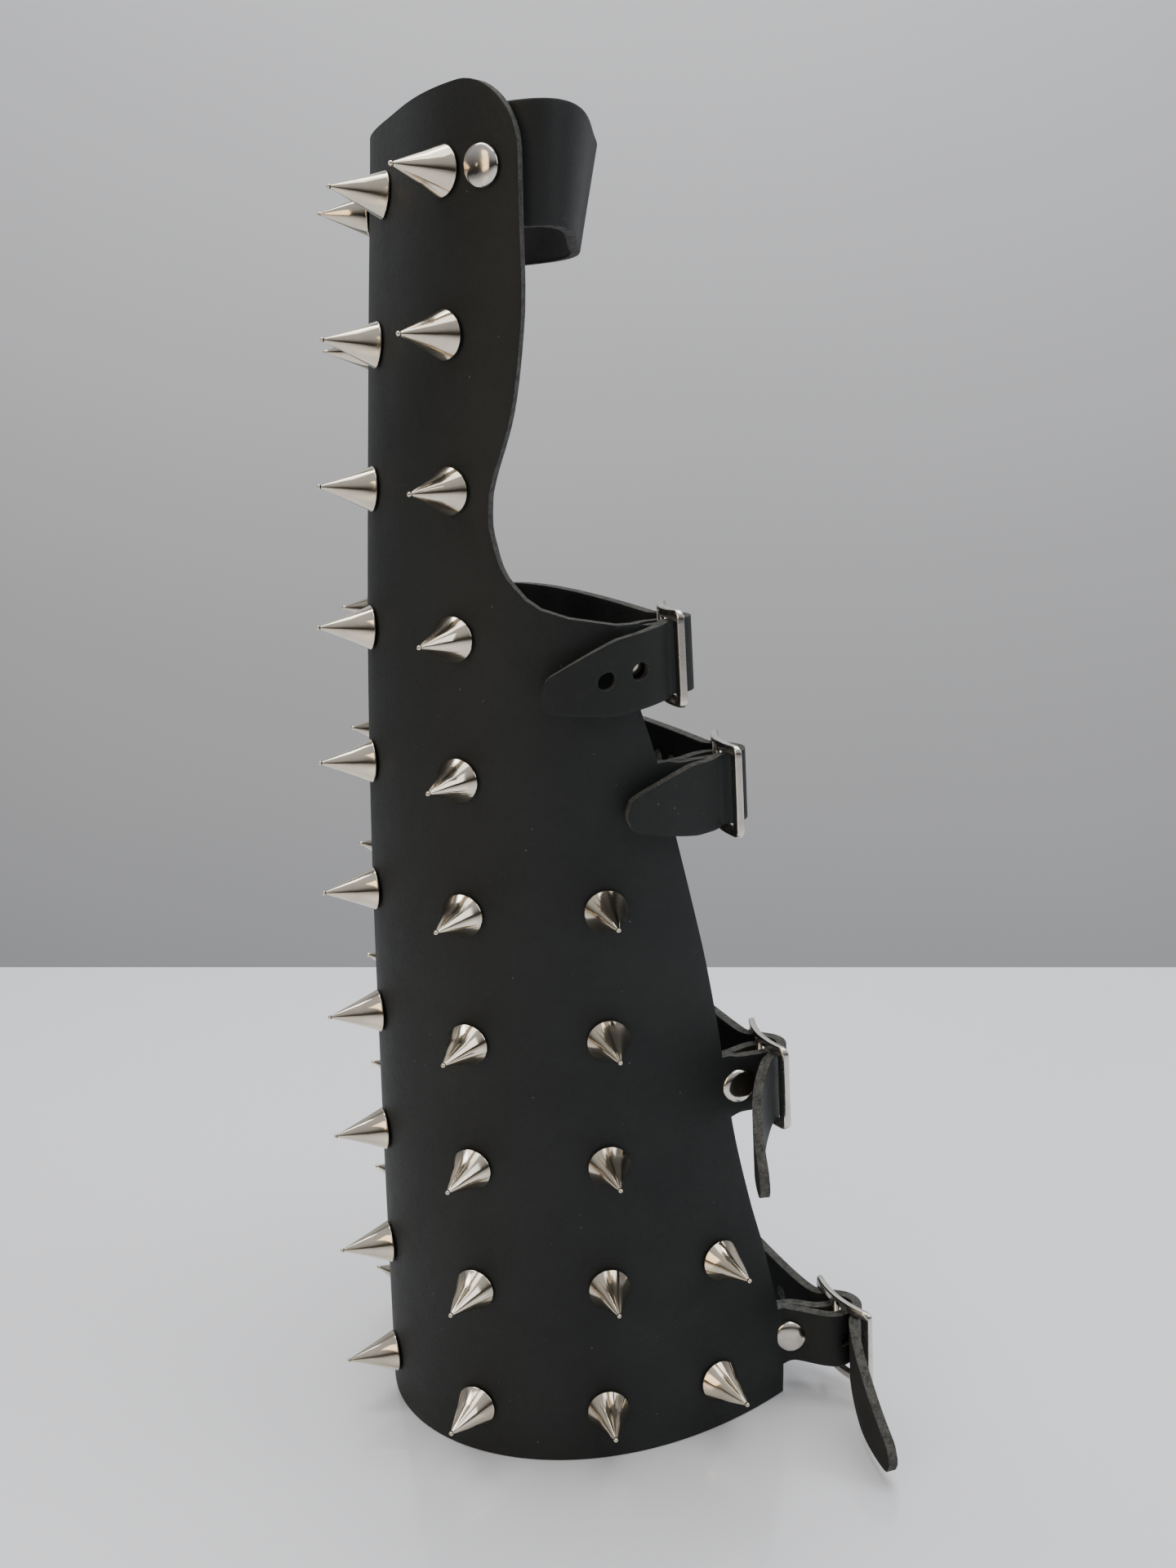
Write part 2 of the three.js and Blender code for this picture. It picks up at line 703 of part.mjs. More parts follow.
  // Spare adjustment holes, spaced from the one in use.
  const spare = [];
  for (let i = 1; i <= 2; i += 1) spare.push(tailStart - spare_hole_start - i * billet_hole_pitch);
  for (let i = 1; i <= strap.holes; i += 1) spare.push(tailStart + i * billet_hole_pitch);
  for (const d of spare) {
    const spot = alongLine(billetLine, d);
    const place = new THREE.Vector3(spot.point.x, spot.point.y, billetLift(d));
    const through = leftOf(spot.direction);
    const out = new THREE.Vector3(through.x, through.y, 0);
    cutters.push(cylinderAlong(place, out, billet_hole_diameter, leather_thickness + 2 * cut_overrun, 8));
  }

  // Rivet through the tab and the leather folded behind it.
  const spot = alongLine(inwards, rivetDistance);
  const side = leftOf(spot.direction);
  const face = spot.point.clone().addScaledVector(side, half);
  const out = new THREE.Vector3(side.x, side.y, 0);
  const stack = 2 * leather_thickness + seat_gap;
  cutters.push(...addRivet(`tab-rivet-${number}`, new THREE.Vector3(face.x, face.y, z), out, stack));
  for (const cutter of cutters) holeCutters.push({ plain: toSolid(cutter) });
});

// Hand loop, riveted inside both edges of the hand plate.
const handLoop = new Sheet();
const handZ = shell_height - hand_rivet_from_end;
const handEdge = spike_column_pitch + hand_rivet_spike_gap + (spike_base_diameter + rivet_cap_diameter) / 2;
const loopGap = leather_thickness + seat_gap;
const loopLine = (z) => {
  const reach = hand_strap_reach + hand_strap_flare * (z - handZ);
  // One half of the loop at a height: under the plate's edge, then out to its middle.
  const line = [-0.435, -0.217, 0, 0.26].map((share) => {
    const d = share * hand_strap_width;
    const out = shellNormal(handEdge + d, z).setZ(0).normalize();
    return flat(shellPoint(handEdge + d, z).addScaledVector(out, -half - loopGap));
  });
  const start = line[line.length - 1];
  const leave = start.clone().sub(line[line.length - 2]).normalize();
  const shoulder = new THREE.Vector2(start.x + reach * 0.82, start.y * 0.38);
  const front = new THREE.Vector2(start.x + reach, 0);
  const towards = new THREE.Vector2(0.42, 0.91);
  line.push(...easeCurve(start, leave, shoulder, towards, 6, 1.2).slice(1));
  line.push(...easeCurve(shoulder, towards, front, new THREE.Vector2(0, 1), 3, 1).slice(1));
  const mirrored = line.slice(0, -1).reverse().map((p) => new THREE.Vector2(p.x, -p.y));
  return [...line, ...mirrored];
};
const loopLines = [-0.5, 0, 0.5].map((share) => loopLine(handZ + share * hand_strap_width));
const loopMiddle = loopLines[1];
const loopLength = lineLength(loopMiddle);
let loopColumn = null;
let loopDistance = 0;
for (let i = 0; i < loopMiddle.length; i += 1) {
  if (i > 0) loopDistance += loopMiddle[i].distanceTo(loopMiddle[i - 1]);
  const before = loopMiddle[Math.max(i - 1, 0)];
  const after = loopMiddle[Math.min(i + 1, loopMiddle.length - 1)];
  const right = leftOf(after.clone().sub(before)).negate();
  const drop = hand_strap_sag * Math.sin((Math.PI * loopDistance) / loopLength) ** 2;
  const column = loopLines.map((line, level) => {
    const z = handZ + (level / 2 - 0.5) * hand_strap_width - drop;
    return handLoop.add(new THREE.Vector3(line[i].x, line[i].y, z), new THREE.Vector3(right.x, right.y, 0));
  });
  if (loopColumn) handLoop.join(loopColumn, column);
  loopColumn = column;
}
let handSolid = toSolid(handLoop.solid(leather_thickness));
let shellSolid = toSolid(leather.solid(leather_thickness));

['near', 'far'].forEach((side, index) => {
  const s = index === 0 ? handEdge : -handEdge;
  const out = shellNormal(s, handZ).setZ(0).normalize();
  const holes = addRivet(`hand-rivet-${side}`, shellPoint(s, handZ), out, leather_thickness + loopGap);
  for (const cut of holes.map(toSolid)) {
    handSolid = handSolid.subtract(cut);
    shellSolid = shellSolid.subtract(cut);
  }
});

for (const cutter of holeCutters) {
  if (cutter.plain) shellSolid = shellSolid.subtract(cutter.plain);
  else shellSolid = shellSolid.subtract(cutter.slot).subtract(cutter.finger);
}
addPart('leather-shell', toGeometry(shellSolid), leatherMaterial);
addPart('hand-strap', toGeometry(handSolid), leatherMaterial);

// Spikes.
const spike_rows_span = shell_height - spike_last_row_from_end - spike_first_row_height;
const spike_row_pitch = spike_rows_span / (spike_row_count - 1);

function spikeGeometry() {
  const radius = spike_base_diameter / 2;
  const points = [
    [0, seat_gap],
    [radius, seat_gap],
    [radius, seat_gap + spike_rim_height],
    [spike_tip_radius, seat_gap + spike_length - spike_tip_radius],
    [0, seat_gap + spike_length],
  ].map(([r, z]) => new THREE.Vector2(r, z));
  return new THREE.LatheGeometry(points, 10).rotateX(Math.PI / 2);
}

for (const { label, column, first, last } of SPIKE_COLUMNS) {
  for (let row = first; row <= last; row += 1) {
    const z = spike_first_row_height + (spike_row_count - row) * spike_row_pitch;
    const sides = column === 0 ? [['', 1]] : [['near-', 1], ['far-', -1]];
    for (const [side, sign] of sides) {
      const s = sign * column * spike_column_pitch;
      const spike = spikeGeometry();
      spike.applyMatrix4(placeAlong(shellPoint(s, z), shellNormal(s, z)));
      addPart(`spike-${side}${label}${row}`, spike, nickelMaterial);
    }
  }
}

// The origin is the middle of the ground that the guard covers.
group.updateMatrixWorld(true);
const bounds = new THREE.Box3().setFromObject(group, true);
const centre = bounds.getCenter(new THREE.Vector3());
group.position.set(-centre.x, -centre.y, -bounds.min.z);

export default group;
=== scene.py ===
import bpy
import numpy as np
from mathutils import Matrix


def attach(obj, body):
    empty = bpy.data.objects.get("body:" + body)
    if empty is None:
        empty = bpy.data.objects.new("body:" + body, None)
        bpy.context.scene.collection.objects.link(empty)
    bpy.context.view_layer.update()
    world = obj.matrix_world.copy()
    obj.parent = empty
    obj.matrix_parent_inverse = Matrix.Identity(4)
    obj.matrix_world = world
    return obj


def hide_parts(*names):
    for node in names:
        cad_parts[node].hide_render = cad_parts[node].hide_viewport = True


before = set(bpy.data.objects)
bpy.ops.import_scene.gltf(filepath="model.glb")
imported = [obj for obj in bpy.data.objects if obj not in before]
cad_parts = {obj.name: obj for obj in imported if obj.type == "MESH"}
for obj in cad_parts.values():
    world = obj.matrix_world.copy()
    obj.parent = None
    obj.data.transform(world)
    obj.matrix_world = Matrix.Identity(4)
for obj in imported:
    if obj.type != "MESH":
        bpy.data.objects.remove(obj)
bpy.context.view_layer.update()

# The leather: one hide about 2.5 mm thick, cut with raw edges. The shell is bent round a forearm
# and hand, and the four buckle tabs and four long strap ends are cut in one piece with it. Each
# tab folds round its buckle's bar and is riveted behind; each strap end is laced through.
mm = 0.001
shell_height = 336.0
base_half_width = 127.0
leather_thickness = 2.5
wrap_radius = 50.0
hand_corner_radius = 16.0
ridge_place = np.array([-53.031, 13.303, 0.0])  # ridge foot, from the middle of the ground covered
half_outline = np.array([
    [0.000, 1.000], [0.020, 0.998], [0.134, 0.928], [0.180, 0.892], [0.247, 0.848],
    [0.352, 0.799], [0.393, 0.778], [0.433, 0.753], [0.473, 0.726], [0.559, 0.667],
    [0.598, 0.636], [0.624, 0.628], [0.650, 0.600], [0.655, 0.535], [0.661, 0.478],
    [0.670, 0.437], [0.679, 0.415], [0.691, 0.391], [0.707, 0.377], [0.724, 0.368],
    [0.740, 0.370], [0.756, 0.382], [0.771, 0.398], [0.787, 0.414], [0.802, 0.425],
    [0.832, 0.440], [0.862, 0.450], [0.880, 0.452], [1.000, 0.452],
])  # height share, half width share
bend_table = np.array([
    [0.000, 1.142, -0.303, 0.000], [0.150, 1.282, -0.442, 0.007], [0.300, 1.303, -0.441, 0.015],
    [0.450, 1.205, -0.300, 0.024], [0.600, 0.988, -0.019, 0.036], [0.750, 0.652, 0.403, 0.052],
    [0.880, 0.264, 0.883, 0.069], [1.000, -0.100, 1.380, 0.088],
])  # height share, bend at the ridge, its change outwards, lean of the ridge


def table_value(table, share, column):
    """Monotone cubic through a column of a table: Hermite curves whose slopes at the points are
    the harmonic mean of the slopes on both sides, or nought where those differ in sign."""
    x, y = table[:, 0], table[:, column]
    slope = np.diff(y) / np.diff(x)
    before, after = np.r_[slope[0], slope], np.r_[slope, slope[-1]]
    product = before * after
    total = np.where(product > 0, before + after, 1)
    tangent = np.where(product > 0, 2 * product / total, 0)
    share = np.asarray(share, float)
    i = np.clip(np.searchsorted(x, share, side="left") - 1, 0, len(x) - 2)
    width = x[i + 1] - x[i]
    t = np.clip((share - x[i]) / width, 0, 1)
    rise = (1 + 2 * t) * (1 - t) ** 2 * y[i] + t * t * (3 - 2 * t) * y[i + 1]
    return rise + width * (t * (1 - t) ** 2 * tangent[i] + t * t * (t - 1) * tangent[i + 1])


def half_width(z):
    """Ridge to edge along the leather at height z, with quarter circles at the hand corners."""
    width = table_value(half_outline, z / shell_height, 1) * base_half_width
    above = np.clip(z - (shell_height - hand_corner_radius), 0, hand_corner_radius)
    return width - hand_corner_radius + np.sqrt(hand_corner_radius ** 2 - above ** 2)


def shell_point(s, z):
    """Outer face at s along the leather from the ridge and height z: the direction turns by
    bend * s + change * s * |s| / 2, and the point is the sum of steps in that direction."""
    s, z = np.broadcast_arrays(np.asarray(s, float), np.asarray(z, float))
    share = np.clip(z / shell_height, 0, 1)
    bend = table_value(bend_table, share, 1) / wrap_radius
    change = table_value(bend_table, share, 2) / wrap_radius ** 2
    steps = (np.arange(24) + 0.5) / 24
    along = s[..., None] * steps
    turn = bend[..., None] * along + 0.5 * change[..., None] * along * np.abs(along)
    x = table_value(bend_table, share, 3) * shell_height + np.sin(turn).mean(-1) * s
    return np.stack([x, -np.cos(turn).mean(-1) * s, z], -1)


def unit(v):
    """Vectors scaled to length one."""
    return v / np.maximum(np.linalg.norm(v, axis=-1, keepdims=True), 1e-9)


def shell_normal(s, z):
    """Direction out of the leather: the cross product of its two directions."""
    step = 0.2
    along = shell_point(s + step, z) - shell_point(s - step, z)
    z = np.asarray(z, float)
    above, below = np.minimum(z + step, shell_height), np.maximum(z - step, 0)
    up = shell_point(s, above) - shell_point(s, below)
    return unit(np.cross(along, up))


def level(v):
    """The same directions turned level with the ground."""
    return unit(v * [1, 1, 0])


def grid_quads(index):
    """Quads between neighbouring rows and columns of a grid of point numbers."""
    corners = [index[:-1, :-1], index[1:, :-1], index[1:, 1:], index[:-1, 1:]]
    return np.stack(corners, -1).reshape(-1, 4)


def thick_sheet(middle, out, quads, thickness):
    """Closed body round a middle surface: each point goes half the thickness out and in along
    its own direction, and every edge with one face gets a strip between the two skins. Returns
    points, quads and the kind of each quad: 0 grain side, 1 flesh side, 2 cut edge."""
    count = len(middle)
    points = np.concatenate([middle + out * thickness / 2, middle - out * thickness / 2])
    start, end = quads.ravel(), np.roll(quads, -1, 1).ravel()
    free = ~np.isin(start * count + end, end * count + start)
    p, q = start[free], end[free]
    rim = np.stack([q, p, p + count, q + count], -1)
    faces = np.concatenate([quads, quads[:, ::-1] + count, rim])
    kind = np.repeat([0, 1, 2], [len(quads), len(quads), len(rim)])
    return points, faces, kind


def make_piece(name, points, faces, finishes, kind=None):
    """Mesh object at the origin from points in millimetres, leaving out unused points."""
    used, faces = np.unique(faces, return_inverse=True)
    faces = faces.reshape(-1, 4) if faces.ndim == 1 else faces
    mesh = bpy.data.meshes.new(name)
    mesh.from_pydata((points[used] * mm).tolist(), [], faces.tolist())
    for finish in finishes:
        mesh.materials.append(finish)
    if kind is not None:
        mesh.polygons.foreach_set("material_index", kind.astype(np.int32))
    mesh.polygons.foreach_set("use_smooth", np.ones(len(faces), bool))
    mesh.update()
    piece = bpy.data.objects.new(name, mesh)
    bpy.context.collection.objects.link(piece)
    return piece


def round_edges(piece, width, segments=2):
    """Bevel modifier on the edges that turn by more than 50 degrees."""
    bevel = piece.modifiers.new("rounded edges", "BEVEL")
    bevel.width, bevel.segments = width * mm, segments
    bevel.limit_method, bevel.angle_limit = "ANGLE", np.radians(50)


class Wire:
    """A shader value. Python operators on it add Math nodes, and node() adds any other."""

    def __init__(self, tree, socket):
        self.tree, self.socket = tree, socket

    def node(self, kind, settings=(), inputs=(), output=0):
        """Adds a node: settings are set first, a ramp's stops among them, then its inputs."""
        made = self.tree.nodes.new(kind)
        for key, value in dict(settings).items():
            if key == "stops":
                ramp = made.color_ramp.elements
                while len(ramp) < len(value):
                    ramp.new(0.5)
                for stop, (place, shade) in zip(ramp, value):
                    stop.position, stop.color = place, (*np.broadcast_to(shade, 3), 1)
            else:
                setattr(made, key, value)
        for key, value in dict(inputs).items():
            if isinstance(value, Wire):
                self.tree.links.new(value.socket, made.inputs[key])
            else:
                made.inputs[key].default_value = value
        return Wire(self.tree, made.outputs[output])

    def maths(self, operation, first, second):
        return self.node("ShaderNodeMath", {"operation": operation}, {0: first, 1: second})

    def __add__(self, other): return self.maths("ADD", self, other)
    def __radd__(self, other): return self.maths("ADD", other, self)
    def __sub__(self, other): return self.maths("SUBTRACT", self, other)
    def __rsub__(self, other): return self.maths("SUBTRACT", other, self)
    def __mul__(self, other): return self.maths("MULTIPLY", self, other)
    def __rmul__(self, other): return self.maths("MULTIPLY", other, self)
    def __truediv__(self, other): return self.maths("DIVIDE", self, other)

    def noise(self, scale, detail=3.0, roughness=0.55, where=None):
        """Cloudy value from 0 to 1 whose lumps are about 1 / scale metres."""
        return self.node("ShaderNodeTexNoise", {"noise_dimensions": "3D"}, {
            "Vector": where or self, "Scale": scale, "Detail": detail, "Roughness": roughness})

    def between(self, low, high):
        """0 at low and 1 at high, held outside them."""
        return self.node("ShaderNodeMapRange", {"clamp": True}, {
            "Value": self, "From Min": low, "From Max": high, "To Min": 0.0, "To Max": 1.0})

    def blend(self, first, second):
        """Colour between two colours or wires, by this value."""
        colour = lambda c: c if isinstance(c, Wire) else (*c, 1.0)
        return self.node("ShaderNodeMix", {"data_type": "RGBA"}, {
            0: self, 6: colour(first), 7: colour(second)}, 2)

    def bump(self, strength, distance, under=None):
        """Surface direction raised by this value times distance in metres."""
        inputs = {"Height": self, "Strength": strength, "Distance": distance}
        if under:
            inputs["Normal"] = under
        return self.node("ShaderNodeBump", {}, inputs)


def finish_of(name, constants, look):
    """Material: constants go on the shader's own sockets, and look(place) gives what varies."""
    finish = bpy.data.materials.new(name)
    finish.use_nodes = True
    tree = finish.node_tree
    shader = tree.nodes["Principled BSDF"]
    for key, value in constants.items():
        shader.inputs[key].default_value = value
    place = Wire(tree, tree.nodes.new("ShaderNodeTexCoord").outputs["Object"])
    for key, value in look(place).items():
        tree.links.new(value.socket, shader.inputs[key])
    return finish


def grain_look(place):
    """Matt dyed grain: pebbles about half a millimetre across with pores, a broad uneven
    pull-up, faint handling marks and a few specks of dust."""
    pebbles = place.node("ShaderNodeTexVoronoi", {"feature": "SMOOTH_F1"}, {
        "Vector": place, "Scale": 1500.0, "Smoothness": 0.6})
    pores = place.noise(5200.0, 2.0)
    pull = place.noise(26.0, 4.0, 0.6)
    rub = place.noise(160.0, 5.0, 0.7)
    dust = place.node("ShaderNodeTexVoronoi", {"feature": "F1"}, {"Vector": place, "Scale": 330.0})
    chance = place.noise(95.0, 2.0).between(0.57, 0.63)
    specks = (1 - dust.between(0.06, 0.11)) * chance
    colour = pull.between(0.35, 0.7).blend((0.0066, 0.0082, 0.0080), (0.0118, 0.0142, 0.0138))
    colour = (rub.between(0.58, 0.75) * 0.45).blend(colour, (0.021, 0.022, 0.0215))
    colour = (specks * 0.5).blend(colour, (0.12, 0.12, 0.115))
    creases = place.noise(240.0, 6.0, 0.68)
    normal = (pebbles * -0.6 + pores * 0.45).bump(0.5, 0.00009)
    normal = creases.bump(0.32, 0.0004, normal)
    rough = 0.50 + rub * 0.14 + pebbles * 0.1 + specks * 0.2
    return {"Base Color": colour, "Roughness": rough, "Normal": normal}


def flesh_look(place):
    """Suede-like flesh side: short dark nap with lighter brushed patches."""
    nap = place.noise(2600.0, 4.0, 0.75)
    patches = place.noise(60.0, 4.0, 0.6)
    strokes = place.noise(420.0, 4.0, 0.7)
    colour = patches.between(0.35, 0.7).blend((0.016, 0.0162, 0.0160), (0.030, 0.030, 0.029))
    colour = (nap.between(0.45, 0.75) * 0.6).blend(colour, (0.050, 0.049, 0.047))
    normal = (nap * 0.7 + strokes * 0.6).bump(0.8, 0.00035)
    return {"Base Color": colour, "Roughness": 0.86 + nap * 0.12, "Normal": normal}


def cut_look(place):
    """Raw cut edge: layers of pale dry fibre where the knife opened the dyed hide."""
    fibre = place.noise(2100.0, 5.0, 0.8)
    tufts = place.noise(520.0, 4.0, 0.7)
    colour = tufts.between(0.35, 0.68).blend((0.040, 0.041, 0.039), (0.120, 0.120, 0.110))
    colour = (fibre.between(0.5, 0.72) * 0.75).blend(colour, (0.250, 0.245, 0.220))
    normal = (fibre * 0.8 + tufts * 0.8).bump(1.0, 0.0006)
    return {"Base Color": colour, "Roughness": 0.84 + fibre * 0.14, "Normal": normal}


leather_finish = finish_of("black_leather_grain", {"Specular IOR Level": 0.36}, grain_look)
flesh_finish = finish_of("leather_flesh_side", {"Specular IOR Level": 0.2}, flesh_look)
cut_finish = finish_of("leather_cut_edge", {"Specular IOR Level": 0.2}, cut_look)
leather_finishes = [leather_finish, flesh_finish, cut_finish]

seat_gap = 0.3
half = leather_thickness / 2
buckle_length, buckle_height = 23.6, 23.0
bar_width, bar_thickness, buckle_bow = 2.4, 1.8, 2.4
centre_bar_radius = 1.2
tab_width, billet_width, tail_tip_width = 15.5, 17.5, 7.0
hole_radius, hole_pitch, spare_hole_start = 2.1, 8.0, 30.0
slot_height, slot_before_bar, slot_past_bar = 3.6, 5.2, 6.5
fold_back_length = 17.0
rivet_seat_gap, rivet_cap_height, tail_rivet_gap = 0.7, 1.7, 0.5
tail_lift_start, tab_taper_length = 1.4, 5.0
finger_reach, finger_height = 4.9, 3.1  # where the prong crosses the long end
fold_radius = centre_bar_radius + seat_gap + half
over_radius = fold_radius + half + seat_gap + half
corner_radius = half + 1.6 * seat_gap
end_bar_inner = buckle_length / 2 - bar_width
across_cells = 16
inner_corner_rise = buckle_bow * (end_bar_inner / (buckle_length / 2)) ** 2 - bar_thickness / 2
lace_slope = np.arctan2(-inner_corner_rise, end_bar_inner) + np.arcsin(
    (over_radius + corner_radius) / np.hypot(end_bar_inner, inner_corner_rise))
straps = [  # lengths in millimetres from the shell's edge and from the bar, turns in degrees
    dict(height=0.624, reach=10.3, inset=5, tail=31.0, rivet=10.0, turn=-13, heading=0,
         droop=0.19, curl=0, folded=True, holes=2),
    dict(height=0.522, reach=16.5, inset=4, tail=27.6, rivet=10.6, turn=-11, heading=0,
         droop=0.07, curl=0, folded=True, holes=0),
    dict(height=0.281, reach=11.8, inset=2, tail=28.0, rivet=8.26, turn=-4, heading=-48,
         droop=0.44, curl=0.014, folded=False, holes=0),
    dict(height=0.0505, reach=14.9, inset=-6, tail=32.5, rivet=15.1, turn=7, heading=-32,
         droop=0.3, curl=0.0064, folded=False, holes=0),
]


def ease_curve(start, leave, end, arrive, count, pull=1.0):
    """Hermite curve between two places of the ground plane, with its end directions scaled by
    the distance between them times pull."""
    t = np.linspace(0, 1, count + 1).reshape(-1, *[1] * np.ndim(start))
    reach = np.linalg.norm(end - start, axis=-1, keepdims=True) * pull
    curve = (1 + 2 * t) * (1 - t) ** 2 * start + t * t * (3 - 2 * t) * end
    return curve + reach * (t * (1 - t) ** 2 * leave + t * t * (t - 1) * arrive)


def line_lengths(line):
    """Distance along a line of points, from its start to each of them."""
    return np.r_[0, np.cumsum(np.linalg.norm(np.diff(line, axis=0), axis=1))]


def along_line(line, distance):
    """Points on a line of points at distances from its start, and the directions there."""
    lengths = line_lengths(line)
    place = np.stack([np.interp(distance, lengths, line[:, k]) for k in (0, 1)], -1)
    step = 0.6
    ahead = np.stack([np.interp(distance + step, lengths, line[:, k]) for k in (0, 1)], -1)
    behind = np.stack([np.interp(distance - step, lengths, line[:, k]) for k in (0, 1)], -1)
    return place, unit(ahead - behind)


def left_of(v):
    """The direction a quarter turn to the left in the ground plane."""
    return np.stack([-v[..., 1], v[..., 0]], -1)


def smooth_step(x, low, high):
    """0 at low and 1 at high, with level ends."""
    t = np.clip((x - low) / (high - low), 0, 1)
    return t * t * (3 - 2 * t)


def softened(line, spacing=0.5, passes=14):
    """The line in even short steps, each point moved between its neighbours a few times, so that
    leather turns its corners in a curve. Its ends stay."""
    total = line_lengths(line)[-1]
    line = along_line(line, np.linspace(0, total, int(total / spacing) + 1))[0]
    for _ in range(passes):
        line[1:-1] = 0.25 * line[:-2] + 0.5 * line[1:-1] + 0.25 * line[2:]
    return line


def rows_of_shell():
    """Heights of the shell's rows: even steps of about 2.5 mm, with closer rows where a strap
    leaves the edge and round the corners of the hand plate."""
    fixed = [0.0, shell_height - hand_corner_radius]
    for strap in straps:
        z = strap["height"] * shell_height
        fixed += [z - billet_width / 2, z + billet_width / 2]
    fixed = np.sort(fixed)
    rows = []
    for low, high in zip(fixed[:-1], fixed[1:]):
        strap_band = abs(high - low - billet_width) < 1e-6
        cells = across_cells if strap_band else max(1, round((high - low) / 2.4))
        rows.append(np.linspace(low, high, cells, endpoint=False))
    corner = np.sin(np.linspace(0, np.pi / 2, 13)) * hand_corner_radius
    return np.concatenate(rows + [shell_height - hand_corner_radius + corner])


def strap_grid(line, width, lift, side, holes, slot):
    """Strap over a softened line in the ground plane: the point at distance d along it and share
    w across it is line(d), raised to lift(d) + w * width(d). Round holes are opened by leaving
    out the cells inside them and moving the points round them onto the circle."""
    total = line_lengths(line)[-1]
    count = int(total / 1.05)
    d = np.repeat(np.linspace(0, total, count + 1)[1:, None], across_cells + 1, 1)
    w = np.broadcast_to(np.linspace(-0.5, 0.5, across_cells + 1), d.shape).copy()
    index = np.arange(d.size).reshape(d.shape)
    quads = grid_quads(index) if side > 0 else grid_quads(index)[:, ::-1]
    d, w = d.ravel(), w.ravel()
    for centre, radius in holes:
        drop = w * width(d)
        inside = np.hypot(d[quads].mean(1) - centre, drop[quads].mean(1)) < radius
        ring = np.intersect1d(quads[inside], quads[~inside])
        away = unit(np.stack([d[ring] - centre, drop[ring]], -1)) * radius
        d[ring] = centre + away[:, 0]
        w[ring] = away[:, 1] / width(d[ring])
        quads = quads[~inside]
    if slot:
        middle_d, middle_w = d[quads].mean(1), (w * width(d))[quads].mean(1)
        open_cell = (middle_d > slot[0]) & (middle_d < slot[1])
        open_cell &= np.abs(middle_w) < slot_height / 2
        quads = quads[~open_cell]
    place, direction = along_line(line, d)
    out = -left_of(direction) * side
    middle = np.column_stack([place, lift(d) + w * width(d)])
    return middle, np.column_stack([out, np.zeros(len(d))]), quads, index[0]


rows = rows_of_shell()
columns = np.linspace(-1, 1, 97)
row_grid, column_grid = np.meshgrid(rows, columns)
s_grid = column_grid * half_width(row_grid)
out_grid = shell_normal(s_grid, row_grid)
upright = 1 - smooth_step(row_grid, 0, 4)[..., None]  # the elbow edge is cut square to the ground
out_grid = unit(out_grid * (1 - upright) + level(out_grid) * upright)
middle_grid = shell_point(s_grid, row_grid) - out_grid * half
shell_index = np.arange(row_grid.size).reshape(row_grid.shape)
sheet_points = [middle_grid.reshape(-1, 3)]
sheet_outs = [out_grid.reshape(-1, 3)]
sheet_quads = [grid_quads(shell_index)]
point_count = row_grid.size
buckles = []
tab_rivets = []

